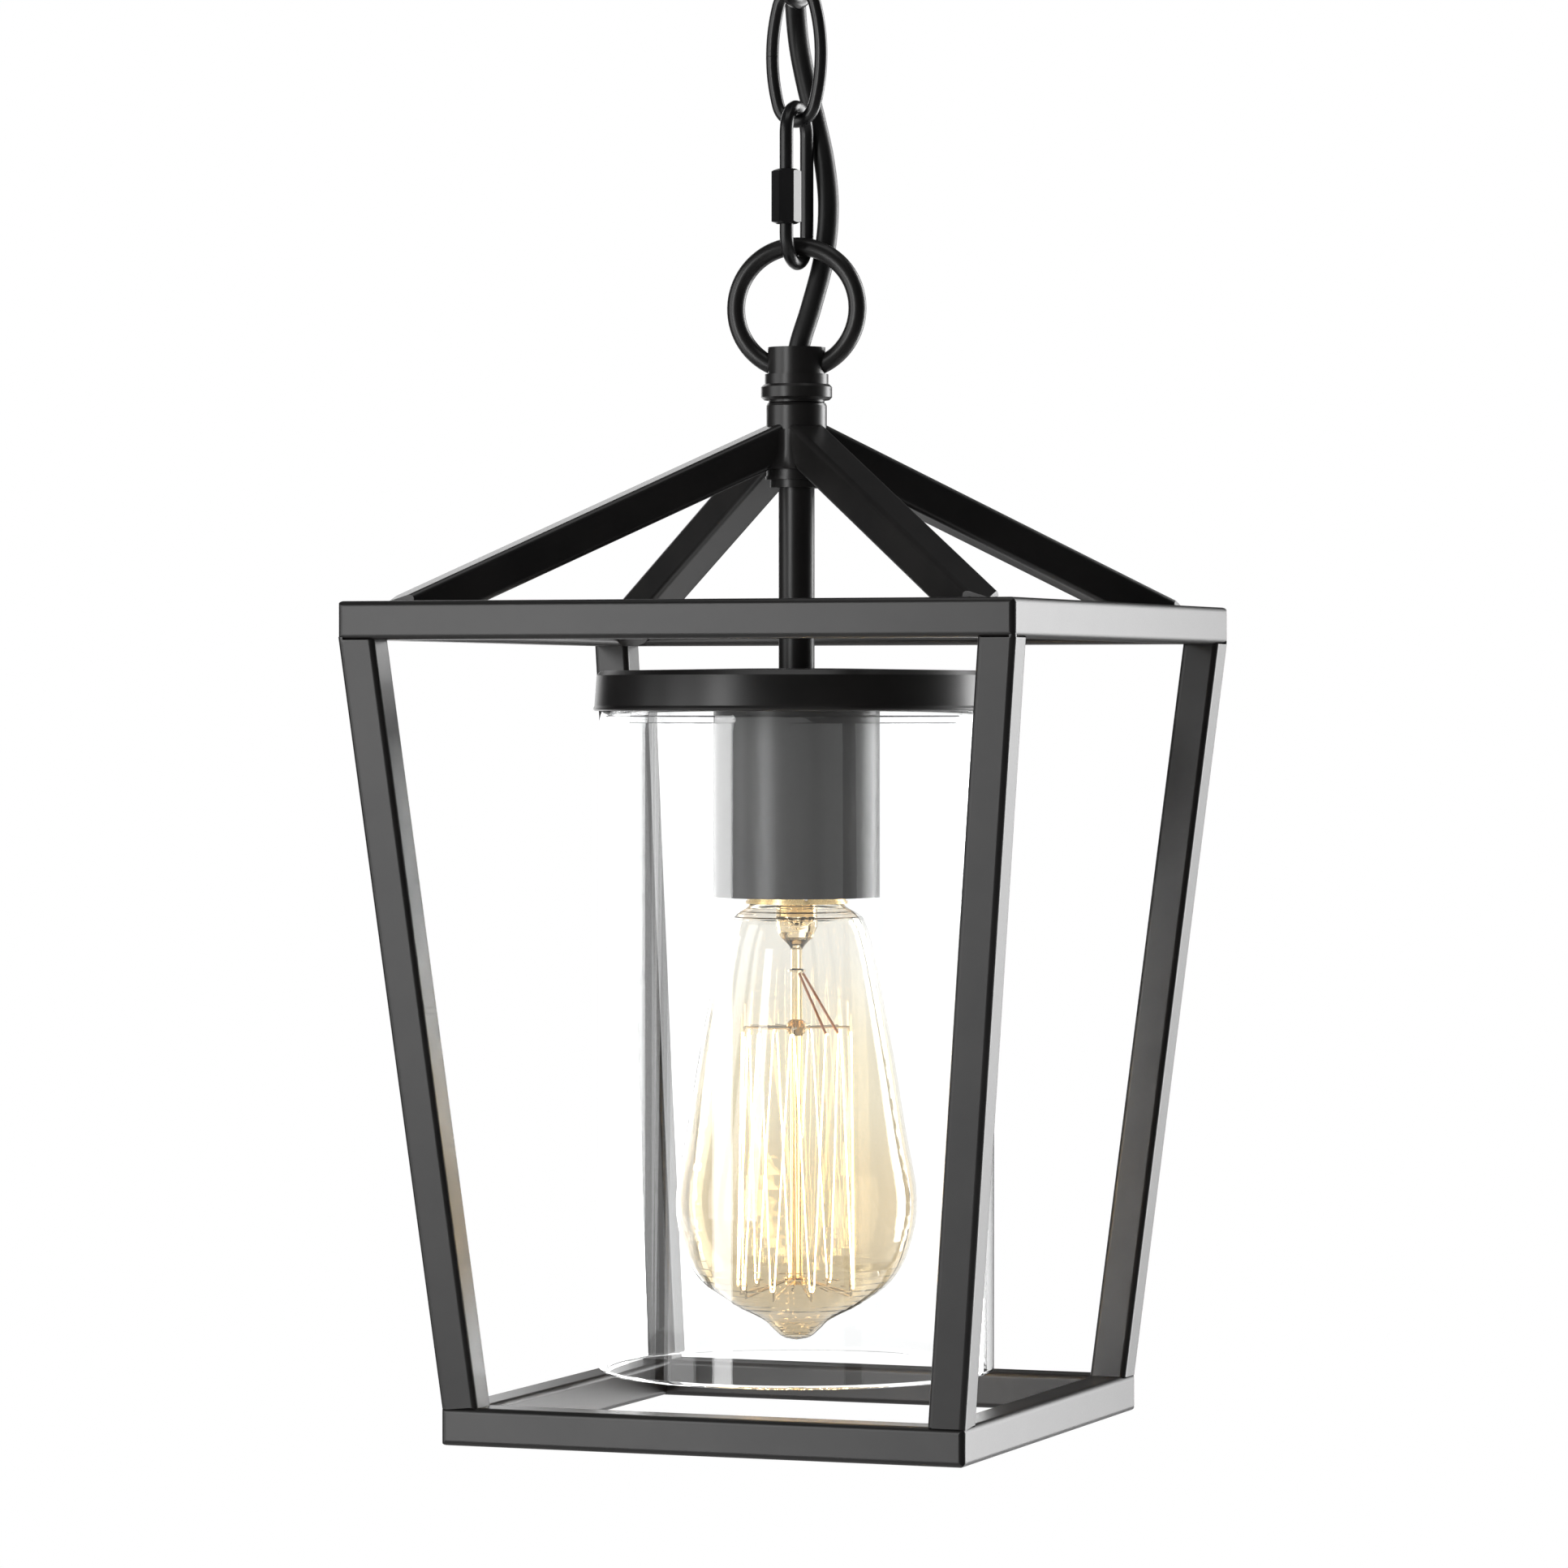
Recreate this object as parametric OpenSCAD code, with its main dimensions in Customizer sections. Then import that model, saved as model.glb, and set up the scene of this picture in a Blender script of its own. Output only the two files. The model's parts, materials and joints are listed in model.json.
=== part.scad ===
// Hanging lantern: a tapered square-tube cage round a clear glass shade and one filament bulb,
// hung by a quick link and an oval-link chain from a round ceiling canopy.
// The origin is the centre of the canopy's ceiling face, +Z is up, and the lantern hangs below.
// X runs along the cage's front face and Y runs from its front to its back.

/* [Cage] */
// Outer side of the square top frame
top_side = 183; // [160:1:230]
// Outer side of the square bottom frame
bottom_side = 143; // [132:1:180]
// Height of the cage from the top frame's upper face to the bottom frame's lower face
cage_h = 218; // [214:1:280]
// Width of the square tube
tube_w = 10; // [8:0.5:12]
// Wall of the square tube
tube_wall = 1.2; // [0.8:0.1:1.6]
// Radius of the tube's long edges
tube_edge_r = 1.5; // [1:0.1:2]

/* [Roof] */
// Diameter of the hub that the four roof bars are welded to
hub_d = 16; // [14:0.1:20]
// Height of the hub
hub_h = 19.6; // [14:0.1:26]
// Height of the hub's top above the cage's top face
hub_rise = 53.4; // [45:0.1:75]
// Drop from the hub's top to the upper edge of a roof bar
bar_drop = 6.5; // [4:0.1:8]

/* [Hanging loops] */
// Outer diameter of a loop's ring
loop_d = 37.6; // [32:0.1:46]
// Wire diameter of a loop's ring
loop_wire_d = 4.8; // [4:0.1:5.6]
// Height from a loop's base to the far side of its ring
loop_h = 38.9; // [36:0.1:50]
// Diameter of a loop's upper collar
collar_d = 15.2; // [13.5:0.1:18]
// Height of a loop's collar
collar_h = 9.8; // [8:0.1:12]
// Diameter of the round washer under the lantern's loop
loop_washer_d = 18.8; // [17:0.1:26]
// Thickness of that washer
loop_washer_t = 4.1; // [3:0.1:6]

/* [Chain] */
// Number of oval links between the quick link and the canopy
link_count = 3; // [1:1:3]
// Outside length of an oval link
link_l = 38.5; // [34:0.5:46]
// Outside width of an oval link
link_w = 19; // [18:0.5:24]
// Wire diameter of an oval link
link_wire_d = 3.4; // [3:0.1:4]
// Outside length of the quick link
quick_l = 44.8; // [42:0.1:55]
// Outside width of the quick link
quick_w = 18.5; // [17:0.5:24]
// Wire diameter of the quick link
quick_wire_d = 3.6; // [3.2:0.1:4]
// Length of the quick link's nut
quick_nut_l = 14.4; // [12:0.1:16]
// Free gap in the quick link under its nut
quick_gap = 6; // [4:0.5:7]

/* [Canopy] */
// Diameter of the canopy
canopy_d = 120; // [118:1:140]
// Height of the canopy
canopy_h = 25; // [22:1:40]
// Thickness of the canopy's sheet metal
canopy_wall = 1; // [0.8:0.1:1.5]
// Distance between the mounting strap's two slots
strap_slot_gap = 88.9; // [80:0.1:90]
// Width of a strap slot
strap_slot_w = 4.5; // [4:0.1:5.5]
// Length of a strap slot from end to end
strap_slot_l = 14; // [10:0.5:15]

/* [Shade] */
// Drop from the cage's top face to the shade cap
cap_drop = 17; // [15:0.5:30]
// Outer diameter of the shade cap at its lower edge
cap_d = 107; // [107:0.5:112]
// Height of the shade cap
cap_h = 11.2; // [9:0.1:16]
// Outer diameter of the glass shade
glass_d = 104.6; // [90:0.1:104.6]
// Length of the glass shade
glass_l = 183.6; // [165:0.1:186]
// Wall of the glass shade
glass_wall = 2; // [2:0.1:4]
// Radius of the glass shade's shoulder
shoulder_r = 14; // [8:0.5:20]

/* [Socket] */
// Outer diameter of the socket cup
cup_d = 44; // [44:0.5:54]
// Length of the socket cup
cup_l = 55.4; // [54:0.1:66]
// Outer diameter of the stem tube
stem_d = 9.5; // [9:0.1:10]
// Bore of the stem tube
stem_bore = 7; // [6.4:0.1:7.4]
// Diameter of the lamp cable
cable_d = 5.6; // [5:0.1:5.8]

/* [Bulb] */
// Largest diameter of the bulb
bulb_d = 64; // [50:1:70]
// Diameter of the bulb's screw base
base_d = 26.2; // [26:0.05:26.3]
// Radius of the filament's circle of support hooks
hook_ring_r = 14.2; // [10:0.1:16]
// Number of lower support hooks
hook_count = 9; // [6:1:12]

/* [Hidden] */
eps = 0.01;
$fn = 48;
contact_gap = 0.25;      // between the wires of two linked rings
thread_gap = 0.05;       // radial clearance of a nut on its thread
seat_gap = 0.1;          // radial clearance of a piece that drops over another

// Heights down the chain, all measured from the ceiling
screw_collar_h = 7;
neck_r = 8;
neck_top = -canopy_h + 8;
nipple_low = neck_top - 12;
canopy_loop_base = -canopy_h - screw_collar_h - seat_gap;
canopy_ring_seat = canopy_loop_base - loop_h + loop_wire_d;
// Inner top of oval link number i, counted from the canopy
function link_inner_top(i) = canopy_ring_seat + contact_gap
    - i * (link_l - 2 * link_wire_d - contact_gap);
function link_mid(i) = link_inner_top(i) + link_wire_d - link_l / 2;
function link_inner_low(i) = link_inner_top(i) + 2 * link_wire_d - link_l;
quick_inner_top = link_inner_low(link_count - 1) + contact_gap;
quick_mid = quick_inner_top + quick_wire_d - quick_l / 2;
quick_inner_low = quick_inner_top + 2 * quick_wire_d - quick_l;
loop_top = quick_inner_low + contact_gap + loop_wire_d;
loop_base = loop_top - loop_h;
washer_neck_h = 0.6;
cage_top = loop_base - loop_washer_t - washer_neck_h - hub_rise;
cage_low = cage_top - cage_h;

// Turn of each ring's plane about Z, from the canopy's loop down to the lantern's
canopy_loop_turn = 78;
link_turns = [-12, 76, -14];
quick_turn = -90.7;
loop_turn = 8.5;

// Heights inside the lantern
hub_top = cage_top + hub_rise;
hub_low = hub_top - hub_h;
hub_washer_t = 0.9;
stem_nut_t = 2.1;
stem_r = stem_d / 2;
stem_hole_r = stem_r + thread_gap;
cap_top = cage_top - cap_drop;
sheet_t = 1;             // sheet metal of the cap and the socket cup
gasket_t = 1;
glass_top = cap_top - sheet_t - gasket_t;
cup_top = glass_top - glass_wall - gasket_t;
cup_low = cup_top - cup_l;
cup_nut_t = 3;
seat_r = 16;             // flat middle of the cap, and the gaskets' outer radius

// Heights in the socket and the bulb
socket_top = cup_top - sheet_t - cup_nut_t - 3;
socket_low = cup_low + 0.5;
stem_low = cup_top - sheet_t - cup_nut_t - 1.5;
base_low = cup_low - 1.8;
tip_top = base_low + 26.6;
base_r = base_d / 2;
shell_r = base_r + seat_gap;
shell_wall = 0.5;
shell_top = tip_top + 1.5;
chamber_low = shell_top + 8;
screw_x = 9;

// The cable's route from the socket up to the canopy
cable_route = [
    [0, 0, -317], [0, 0, -303], [0, 0, -289], [0, 0, -275], [0, 0, -261], [0, 0, -247],
    [0, 0, -234], [0.3, 0.4, -223], [2.8, 3.7, -211], [5.0, 7.2, -198],
    [5.5, 9.4, -185], [3.8, 11.2, -173], [0.9, 12.6, -162], [-1.8, 12.2, -151],
    [-3.4, 11.0, -141], [-4.0, 9.9, -131], [-4.2, 9.0, -118], [-4.4, 8.6, -104],
    [-4.7, 8.2, -90], [-4.9, 7.4, -76], [-4.3, 5.7, -64], [-2.2, 2.8, -52],
    [0, 0, -42], [0, 0, -28], [0, 0, -14], [0, 0, -1]
];

corner_names = ["front_left", "front_right", "back_right", "back_left"];
side_names = ["front", "right", "back", "left"];
function link_name(i) = str("chain_link_", i + 1);

// ---------- shared shapes ----------

module rounded_square(w, r) {
    square([w - 2 * r, w], center = true);
    square([w, w - 2 * r], center = true);
    for (x = [-1, 1], y = [-1, 1])
        translate([x, y] * (w / 2 - r)) circle(r);
}

// Square tube section, open inside
module tube_section() {
    difference() {
        rounded_square(tube_w, tube_edge_r);
        square(tube_w - 2 * tube_wall, center = true);
    }
}

// Arc of round wire in the XZ plane about the origin, between two angles from +X
module wire_arc(r, wire, from, to) {
    rotate([90, 0, 0]) rotate([0, 0, from]) rotate_extrude(angle = to - from)
        translate([r, 0]) circle(wire / 2);
}

// Straight round wire from p to q
module wire(p, q, d) {
    v = q - p;
    translate(p) rotate([0, acos(v.z / norm(v)), atan2(v.y, v.x)])
        cylinder(h = norm(v), r = d / 2, $fn = 24);
}

// Round plate with a hole, its lower face at z
module washer(z, t, hole_r, r) {
    translate([0, 0, z]) difference() {
        cylinder(h = t, r = r);
        translate([0, 0, -eps]) cylinder(h = t + 2 * eps, r = hole_r);
    }
}

// Six-sided nut with its outer edges chamfered, its lower face at z
module hex_nut(z, t, across_flats, hole_r, turn = 0) {
    r = across_flats / 2 / cos(30);
    edge = min(0.18 * across_flats, t / 3);
    translate([0, 0, z]) rotate(turn) difference() {
        intersection() {
            cylinder(h = t, r = r, $fn = 6);
            union() {
                cylinder(h = edge / 2, r1 = r - edge, r2 = r);
                translate([0, 0, edge / 2]) cylinder(h = t - edge, r = r);
                translate([0, 0, t - edge / 2]) cylinder(h = edge / 2, r1 = r, r2 = r - edge);
            }
        }
        translate([0, 0, -eps]) cylinder(h = t + 2 * eps, r = hole_r);
    }
}

// Long wire link in the XZ plane about the origin, with a saw cut where the wire's ends meet
module wire_link(l, w, wire) {
    leg = (w - wire) / 2;
    bend = (l - w) / 2;
    cut = 0.4;
    for (s = [0, 180]) rotate([0, s, 0]) translate([0, 0, bend]) wire_arc(leg, wire, 0, 180);
    translate([leg, 0, -bend]) cylinder(h = 2 * bend, r = wire / 2);
    for (z = [-bend, cut / 2])
        translate([-leg, 0, z]) cylinder(h = bend - cut / 2, r = wire / 2);
}

// A loop's ring in the XZ plane, standing on a base at z = 0
module loop_ring() {
    translate([0, 0, loop_h - loop_d / 2])
        wire_arc((loop_d - loop_wire_d) / 2, loop_wire_d, 0, 360);
}

// The cable's way through a loop's collar, open to the ring with a soft mouth
module cable_way() {
    r = cable_d / 2 + 0.5;
    mouth = 1.8;
    translate([0, 0, -eps]) cylinder(h = collar_h + 2 * eps, r = r);
    translate([0, 0, collar_h - mouth]) cylinder(h = mouth + eps, r1 = r, r2 = r + mouth);
    translate([0, 0, collar_h]) cylinder(h = loop_wire_d, r = r + mouth);
}

// ---------- canopy ----------

module canopy_dome() {
    round_step = 7.5;
    rim_h = 4;
    // The wall falls from the rim to the flat middle as a quarter of an ellipse
    function dome(r, h) = [for (t = [0 : round_step : 90])
        [seat_r + (r - seat_r) * cos(t), -rim_h - (h - rim_h) * sin(t)]];
    function backwards(list) = [for (i = [len(list) - 1 : -1 : 0]) list[i]];
    r = canopy_d / 2;
    hole_r = neck_r + 0.3;
    color("#2a2a2b") rotate_extrude($fn = 96) polygon(concat(
        [[r, 0]],
        dome(r, canopy_h),
        [[hole_r, -canopy_h], [hole_r, -canopy_h + canopy_wall]],
        backwards(dome(r - canopy_wall, canopy_h - canopy_wall)),
        [[r - canopy_wall, 0]]));
}

strap_t = 2;
strap_w = 20;
strap_l = strap_slot_gap + strap_slot_l + 9;
ground_x = 22;
ground_r = 1.9;
nipple_r = 5;
module mounting_strap() {
    color("#9a9c9e") translate([0, 0, -strap_t]) difference() {
        translate([-strap_l / 2, -strap_w / 2, 0]) cube([strap_l, strap_w, strap_t]);
        translate([0, 0, -eps]) linear_extrude(strap_t + 2 * eps) {
            circle(nipple_r + thread_gap);
            translate([ground_x, 0]) circle(ground_r + thread_gap);
            for (s = [-1, 1])
                translate([s * strap_slot_gap / 2, 0]) slot_outline(strap_slot_l, strap_slot_w);
        }
    }
}
module slot_outline(l, w) {
    square([l - w, w], center = true);
    for (s = [-1, 1]) translate([s * (l - w) / 2, 0]) circle(w / 2);
}

module strap_nipple() color("#c2a35a") washer(nipple_low, -nipple_low, stem_bore / 2, nipple_r);

module strap_lock_nut() color("#9a9c9e") hex_nut(-strap_t - 3, 3, 15, nipple_r + thread_gap);

module ground_screw() {
    color("#2f7d46") translate([ground_x, 0, -strap_t]) {
        translate([0, 0, -2.4]) cylinder(h = 2.4, r = 4);
        cylinder(h = strap_t, r = ground_r);
    }
}

// Loop under the canopy, with a neck that the nipple screws into and the screw collar runs on
module canopy_loop() {
    color("#242425") translate([0, 0, canopy_loop_base]) difference() {
        union() {
            mirror([0, 0, 1]) {
                rotate(canopy_loop_turn) loop_ring();
                cylinder(h = collar_h, r = collar_d / 2);
            }
            cylinder(h = neck_top - canopy_loop_base, r = neck_r);
        }
        mirror([0, 0, 1]) cable_way();
        cylinder(h = 40, r = cable_d / 2 + 0.5);
        translate([0, 0, nipple_low - canopy_loop_base]) cylinder(h = 30, r = nipple_r + thread_gap);
    }
}

module canopy_screw_collar() {
    r = 13;
    flutes = 30;
    h = screw_collar_h;
    color("#242425") translate([0, 0, -canopy_h - h]) difference() {
        cylinder(h = h, r = r);
        translate([0, 0, -eps]) cylinder(h = h + 2 * eps, r = neck_r + thread_gap);
        for (i = [0 : flutes - 1]) rotate(i * 360 / flutes)
            translate([r + 0.4, 0, 1.2]) cylinder(h = h - 2.4, r = 0.9, $fn = 16);
    }
}

// ---------- chain and quick link ----------

module chain_link(i) {
    color("#262627") translate([0, 0, link_mid(i)]) rotate(link_turns[i])
        wire_link(link_l, link_w, link_wire_d);
}

quick_leg = (quick_w - quick_wire_d) / 2;
quick_bend = (quick_l - quick_w) / 2;
quick_nut_low = -10.7;   // the closed nut's lower end, from the quick link's middle
quick_stub = 2;          // end of the thread that the closed nut holds
module quick_link() {
    color("#2b2b2c") translate([0, 0, quick_mid]) rotate(quick_turn) {
        for (s = [0, 180]) rotate([0, s, 0])
            translate([0, 0, quick_bend]) wire_arc(quick_leg, quick_wire_d, 0, 180);
        translate([-quick_leg, 0, -quick_bend]) cylinder(h = 2 * quick_bend, r = quick_wire_d / 2);
        translate([quick_leg, 0, -quick_bend])
            cylinder(h = quick_bend + quick_nut_low + quick_stub, r = quick_wire_d / 2);
        translate([quick_leg, 0, quick_nut_low + quick_stub + quick_gap])
            cylinder(h = quick_bend - quick_nut_low - quick_stub - quick_gap, r = quick_wire_d / 2);
    }
}

module quick_link_nut() {
    color("#3a3a3b") translate([0, 0, quick_mid]) rotate(quick_turn)
        translate([quick_leg, 0, 0])
        hex_nut(quick_nut_low, quick_nut_l, 6.8, quick_wire_d / 2 + thread_gap, turn = -9);
}

// ---------- cable ----------

function unit(v) = v / norm(v);
// Points round the cable at route point i, square to the route there
function cable_ring(i, sides) =
    let (last = len(cable_route) - 1,
         along = unit(cable_route[min(i + 1, last)] - cable_route[max(i - 1, 0)]),
         across = unit(cross([0, 1, 0], along)),
         third = cross(along, across))
    [for (k = [0 : sides - 1]) cable_route[i]
        + (across * cos(k * 360 / sides) + third * sin(k * 360 / sides)) * cable_d / 2];

module power_cable() {
    sides = 10;
    last = len(cable_route) - 1;
    points = [for (i = [0 : last]) each cable_ring(i, sides)];
    walls = [for (i = [0 : last - 1], k = [0 : sides - 1]) let (next = (k + 1) % sides)
        [i * sides + k, (i + 1) * sides + k, (i + 1) * sides + next, i * sides + next]];
    low_end = [for (k = [0 : sides - 1]) k];
    top_end = [for (k = [sides - 1 : -1 : 0]) last * sides + k];
    color("#161616") polyhedron(points, concat([low_end], walls, [top_end]));
}

// ---------- lantern's loop and roof ----------

module hanging_loop() {
    color("#242425") translate([0, 0, loop_base]) difference() {
        union() {
            rotate(loop_turn) loop_ring();
            cylinder(h = collar_h, r = collar_d / 2);
            cylinder(h = 2.7, r = collar_d / 2 + 0.8);
        }
        cable_way();
        translate([0, 0, -eps]) cylinder(h = 5.2, r = stem_hole_r);
    }
}

// Thick round-edged washer with a low step that stands on the hub
module loop_washer() {
    edge = 0.7;
    r = loop_washer_d / 2;
    neck = collar_d / 2 - 0.2;
    top = washer_neck_h + loop_washer_t;
    color("#2a2a2b") translate([0, 0, hub_top]) rotate_extrude() polygon([
        [stem_hole_r, 0], [neck, 0], [neck, washer_neck_h], [r - edge, washer_neck_h],
        [r, washer_neck_h + edge], [r, top - edge], [r - edge, top], [stem_hole_r, top]]);
}

module roof_hub() {
    r = hub_d / 2;
    edge = 1;
    color("#242425") translate([0, 0, hub_low]) rotate_extrude() polygon([
        [stem_hole_r, 0], [r, 0], [r, hub_h - edge], [r - 0.3 * edge, hub_h - 0.3 * edge],
        [r - edge, hub_h], [stem_hole_r, hub_h]]);
}

module hub_washer() {
    color("#2a2a2b") washer(hub_low - hub_washer_t, hub_washer_t, stem_hole_r, hub_d / 2 + 0.3);
}

module stem_nut() {
    color("#2a2a2b") washer(hub_low - hub_washer_t - stem_nut_t, stem_nut_t, stem_hole_r, 7.1);
}

module stem_tube() {
    color("#2a2a2b") washer(stem_low, loop_base + 5 - stem_low, stem_bore / 2, stem_r);
}

inner_half = top_side / 2 - tube_w;
inner_corner = inner_half * sqrt(2);
bar_rise = hub_rise - bar_drop;
bar_slope = atan(bar_rise / (inner_corner - hub_d / 2));
// Square bar from the hub down into the top frame's inner corner
module roof_bar(i) {
    color("#262627") difference() {
        intersection() {
            rotate(225 + 90 * i) translate([hub_d / 2, 0, cage_top + bar_rise])
                rotate([0, 90 + bar_slope, 0]) translate([tube_w / 2, 0, -20])
                linear_extrude(inner_corner + 40) tube_section();
            translate([-inner_half, -inner_half, cage_top - tube_w])
                cube([2 * inner_half, 2 * inner_half, 80 + tube_w]);
            // A bar keeps to its own quarter, so neighbours meet but don't cross
            rotate(225 + 90 * i) translate([0, 0, cage_top - 50]) linear_extrude(150)
                polygon([[0, 0], [2 * top_side, -2 * top_side], [2 * top_side, 2 * top_side]]);
        }
        translate([0, 0, cage_top - 50]) cylinder(h = 150, r = hub_d / 2);
    }
}

// ---------- cage ----------

// A rail's outer shape on the front side, filled in, with its middle at height z
module rail_block(side, z) {
    intersection() {
        translate([-side / 2, -side / 2 + tube_w / 2, z]) rotate([0, 90, 0])
            linear_extrude(side) rounded_square(tube_w, tube_edge_r);
        translate([0, 0, z - tube_w]) linear_extrude(2 * tube_w) rounded_square(side, tube_edge_r);
    }
}

// Rail of a square frame on side i, mitred at both ends, with its middle at height z
module frame_rail(i, side, z) {
    rotate(90 * i) intersection() {
        translate([-side / 2, -side / 2 + tube_w / 2, z]) rotate([0, 90, 0])
            linear_extrude(side) tube_section();
        translate([0, 0, z - tube_w]) linear_extrude(2 * tube_w) intersection() {
            rounded_square(side, tube_edge_r);
            polygon([[0, 0], [-side, -side], [side, -side]]);
        }
    }
}
module top_rail(i) color("#4c4c4d") frame_rail(i, top_side, cage_top - tube_w / 2);
module bottom_rail(i) color("#4c4c4d") frame_rail(i, bottom_side, cage_low + tube_w / 2);

// Leaning tube between the two frames at corner i
module corner_post(i) {
    h = cage_h - 2 * tube_w;
    lean = (top_side - bottom_side) / 2;
    from = -(top_side - tube_w) / 2;
    over = tube_edge_r / 2;
    mouth = bottom_side - 2 * tube_w;
    color("#4a4a4b") rotate(90 * i) difference() {
        intersection() {
            translate([from, from, cage_top - tube_w])
                rotate([asin(lean / norm([lean, lean, h])), -atan(lean / h), 0])
                translate([0, 0, -h - 20]) linear_extrude(h + 40) tube_section();
            translate([-top_side / 2, -top_side / 2, cage_low + tube_w - over])
                cube([top_side, top_side, h + 2 * over]);
        }
        translate([-mouth / 2, -mouth / 2, cage_low])
            cube([mouth, mouth, tube_w]);
        // The ends fit round the rails' rounded edges
        for (turn = [0, -90]) rotate(turn) {
            rail_block(top_side, cage_top - tube_w / 2);
            rail_block(bottom_side, cage_low + tube_w / 2);
        }
    }
}

// ---------- shade ----------

module shade_cap() {
    r = cap_d / 2;
    fall = 0.6;
    round_r = 1.2;
    lip_r = 0.7;
    low = -fall - round_r;
    lip = lip_r - cap_h;
    color("#303031") translate([0, 0, cap_top]) rotate_extrude($fn = 96) polygon(concat(
        [[stem_hole_r, 0], [seat_r, 0], [r - round_r - 0.4, -fall], [r - 0.6, low],
        [r, lip + lip_r]],
        [for (t = [0 : -30 : -180]) [r - 0.4 + lip_r * cos(t), lip + lip_r * sin(t)]],
        [[r - sheet_t, lip + lip_r], [r - 0.6 - sheet_t, low],
        [r - round_r - 1, -fall - sheet_t], [seat_r, -sheet_t], [stem_hole_r, -sheet_t]]));
}

module upper_gasket() color("#1c1c1c") washer(glass_top, gasket_t, stem_hole_r + 0.2, seat_r - 1);
module lower_gasket() color("#1c1c1c") washer(cup_top, gasket_t, stem_hole_r + 0.2, seat_r);

// Clear bell with a flat top, a round shoulder and a fire-polished rim
module glass_shade() {
    r = glass_d / 2;
    step = 7.5;
    rim = glass_wall / 2;
    function arc(cx, cy, radius, from, to) = [for (k = [0 : 90 / step])
        let (t = from + (to - from) * k * step / 90) [cx + radius * cos(t), cy + radius * sin(t)]];
    color([0.85, 0.9, 0.92, 0.35]) translate([0, 0, glass_top]) rotate_extrude($fn = 96)
        polygon(concat(
            [[stem_r + 4, 0]],
            arc(r - shoulder_r, -shoulder_r, shoulder_r, 90, 0),
            arc(r - rim, rim - glass_l, rim, 0, -180),
            arc(r - shoulder_r, -shoulder_r, shoulder_r - glass_wall, 0, 90),
            [[stem_r + 4, -glass_wall]]));
}

// ---------- socket ----------

module socket_cup() {
    r = cup_d / 2;
    edge = 1.5;
    color("#2a2a2b") translate([0, 0, cup_top]) rotate_extrude() polygon([
        [stem_hole_r, 0], [r - edge, 0], [r, -edge], [r, -cup_l], [r - sheet_t, -cup_l],
        [r - sheet_t, -edge - 0.4], [r - edge - 0.4, -sheet_t], [stem_hole_r, -sheet_t]]);
}

module cup_nut() {
    color("#c2a35a") hex_nut(cup_top - sheet_t - cup_nut_t, cup_nut_t, 17, stem_hole_r);
}

// Moulded body: the screw shell's chamber below, the terminals' chamber above
module socket_body() {
    r = cup_d / 2 - sheet_t - seat_gap;
    color("#d8d4c8") difference() {
        translate([0, 0, socket_low]) cylinder(h = socket_top - socket_low, r = r);
        translate([0, 0, socket_low - eps])
            cylinder(h = shell_top - socket_low + eps, r = shell_r + shell_wall);
        translate([0, 0, chamber_low]) cylinder(h = socket_top - chamber_low + eps, r = 15.5);
        translate([0, 0, shell_top - eps]) cylinder(h = 9, r = 1.5);
        for (s = [-1, 1]) translate([s * screw_x, 0, chamber_low - 5]) cylinder(h = 6, r = 1.6);
    }
}

module screw_shell() {
    color("#c9a24a") washer(socket_low, shell_top - socket_low, shell_r, shell_r + shell_wall);
}

module centre_contact() {
    color("#c9a24a") {
        translate([0, 0, tip_top + 0.05]) cylinder(h = 0.6, r = 4.5);
        translate([0, 0, tip_top + 0.6]) cylinder(h = chamber_low - tip_top, r = 1.5);
    }
}

module terminal_screws() {
    color("#b9a06a") for (s = [-1, 1]) translate([s * screw_x, 0, chamber_low]) {
        cylinder(h = 2, r = 3);
        translate([0, 0, -4]) cylinder(h = 4, r = 1.6);
    }
}

// Two leads from the cable's end to the terminals
module socket_leads() {
    d = 1.7;
    color("#e8e6e0") for (s = [-1, 1]) {
        top = [s * 1.2, 0, stem_low + 0.3];
        bend = [s * 1.2, 0, socket_top - 1];
        screw = [s * (screw_x - 1), 0, chamber_low + 2 + d / 2];
        wire(bend, top, d);
        wire(screw, bend + [0, 0, 0.3], d);
    }
}

// ---------- bulb ----------

// Depth below the base's edge and radius at points down the envelope
neck = base_r - 0.6;
bulge = (bulb_d / 2 - neck) / (32 - neck);
function swell(r) = neck + (r - neck) * bulge;
envelope = [
    [-10, neck - 0.3], [-5, neck - 0.3], [0, neck], [2.4, swell(16.2)], [5, swell(18.3)],
    [14.8, swell(21)], [38.5, swell(25.5)], [60, swell(29)], [78, swell(32)],
    [91, swell(30)], [99.4, swell(25.5)], [105.6, swell(17.6)], [109.8, swell(9.5) - 0.2],
    [112.4, 6.3], [114.6, 3.6], [115.4, 0]
];
steps = 4;
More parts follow.
